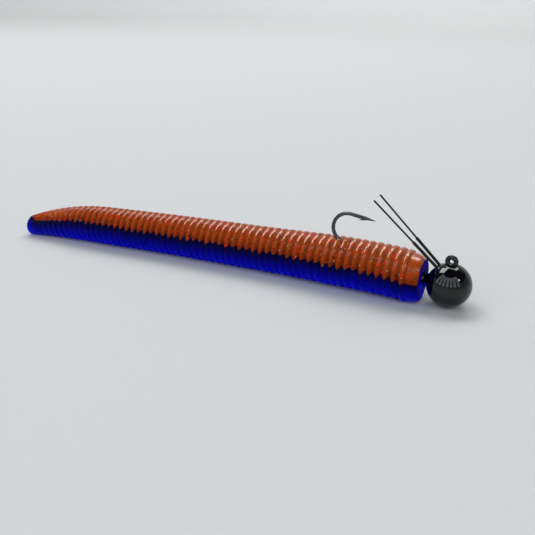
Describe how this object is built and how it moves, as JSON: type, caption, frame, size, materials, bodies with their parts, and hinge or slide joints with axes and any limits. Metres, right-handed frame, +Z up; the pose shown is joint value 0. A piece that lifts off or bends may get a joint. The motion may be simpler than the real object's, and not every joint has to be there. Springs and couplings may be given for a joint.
{
  "type": "soft plastic worm",
  "caption": "Ribbed laminated soft plastic fishing worm threaded on a round jig head, with a barbed hook, a closed line eye and a springy wire weed guard.",
  "frame": {"origin": "centre of the hole in the line eye, where the fishing line is tied", "axes": "+X along the worm from its tail to the ball, +Z up from the surface it lies on, +Y to the worm's left"},
  "size_m": [0.1117, 0.0118, 0.0206],
  "materials": {
    "back_plastisol": "glossy translucent orange-brown plastisol with red and black flakes",
    "belly_plastisol": "glossy deep blue plastisol",
    "head_enamel": "glossy black baked enamel on a cast ball",
    "hook_nickel": "polished black nickel plate",
    "guard_steel": "bare dark spring wire",
    "guard_tube": "shrunk black plastic tube"
  },
  "bodies": {
    "head": {"ball_head": "head_enamel", "hook": "hook_nickel", "worm_back_1": "back_plastisol", "worm_belly_1": "belly_plastisol"},
    "section_2": {"worm_back_2": "back_plastisol", "worm_belly_2": "belly_plastisol"},
    "section_3": {"worm_back_3": "back_plastisol", "worm_belly_3": "belly_plastisol"},
    "section_4": {"worm_back_4": "back_plastisol", "worm_belly_4": "belly_plastisol"},
    "section_5": {"worm_back_5": "back_plastisol", "worm_belly_5": "belly_plastisol"},
    "section_6": {"worm_back_6": "back_plastisol", "worm_belly_6": "belly_plastisol"},
    "guard_left": {"guard_wire_left": "guard_steel", "guard_sleeve_left": "guard_tube"},
    "guard_right": {"guard_wire_right": "guard_steel", "guard_sleeve_right": "guard_tube"}
  },
  "joints": [
    {"name": "bend_1", "type": "hinge", "parent": "head", "child": "section_2", "pos_m": [-0.033, 0.00145, -0.00453], "axis": [0, 0, 1], "range_deg": [-30, 30], "stiffness_Nm_per_rad": 0.0034},
    {"name": "bend_2", "type": "hinge", "parent": "section_2", "child": "section_3", "pos_m": [-0.04893, 0.00131, -0.00469], "axis": [-0.0087, 1, 0], "range_deg": [-30, 30], "stiffness_Nm_per_rad": 0.003},
    {"name": "bend_3", "type": "hinge", "parent": "section_3", "child": "section_4", "pos_m": [-0.06486, 0.00117, -0.00486], "axis": [0, 0, 1], "range_deg": [-30, 30], "stiffness_Nm_per_rad": 0.0027},
    {"name": "bend_4", "type": "hinge", "parent": "section_4", "child": "section_5", "pos_m": [-0.08077, 0.00033, -0.00502], "axis": [-0.0523, 0.9986, 0], "range_deg": [-30, 30], "stiffness_Nm_per_rad": 0.0023},
    {"name": "bend_5", "type": "hinge", "parent": "section_5", "child": "section_6", "pos_m": [-0.09647, -0.00049, -0.00519], "axis": [0, 0, 1], "range_deg": [-30, 30], "stiffness_Nm_per_rad": 0.0018},
    {"name": "guard_left_flex", "type": "hinge", "parent": "head", "child": "guard_left", "pos_m": [-0.00249, 0.00095, -0.00142], "axis": [0, 1, 0], "range_deg": [-16, 20], "stiffness_Nm_per_rad": 0.01},
    {"name": "guard_right_flex", "type": "hinge", "parent": "head", "child": "guard_right", "pos_m": [-0.00249, -0.00095, -0.00142], "axis": [0, 1, 0], "range_deg": [-16, 20], "stiffness_Nm_per_rad": 0.01}
  ]
}
